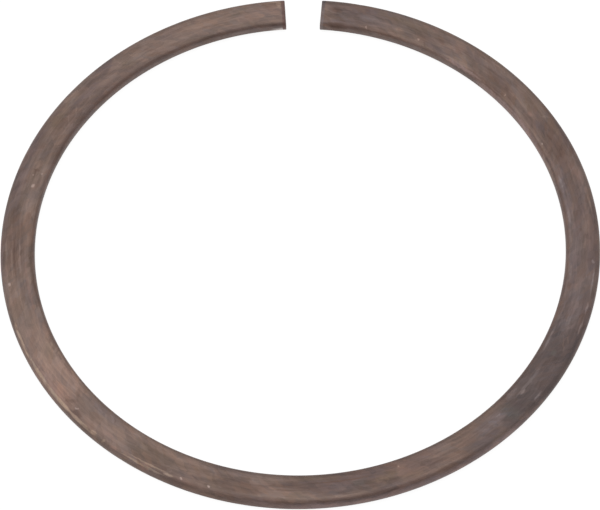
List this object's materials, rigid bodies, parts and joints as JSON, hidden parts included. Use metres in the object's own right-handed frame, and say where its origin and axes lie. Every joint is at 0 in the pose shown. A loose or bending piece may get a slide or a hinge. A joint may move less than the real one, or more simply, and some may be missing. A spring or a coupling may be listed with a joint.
{
  "type": "circlip",
  "caption": "Open snap ring of flat spring-steel wire with rounded corners and plain sheared ends, for an outside groove on a shaft.",
  "frame": {"origin": "on the ring's axis, at its underside", "axes": "+Z along the ring's axis, away from the surface it lies on; +Y through the middle of the gap between its ends"},
  "size_m": [0.105, 0.1049, 0.0023],
  "materials": {
    "spring_steel": "brown oxide scale, streaked along the wire, worn on its corners"
  },
  "bodies": {
    "root": {"ring": "spring_steel"}
  },
  "joints": []
}
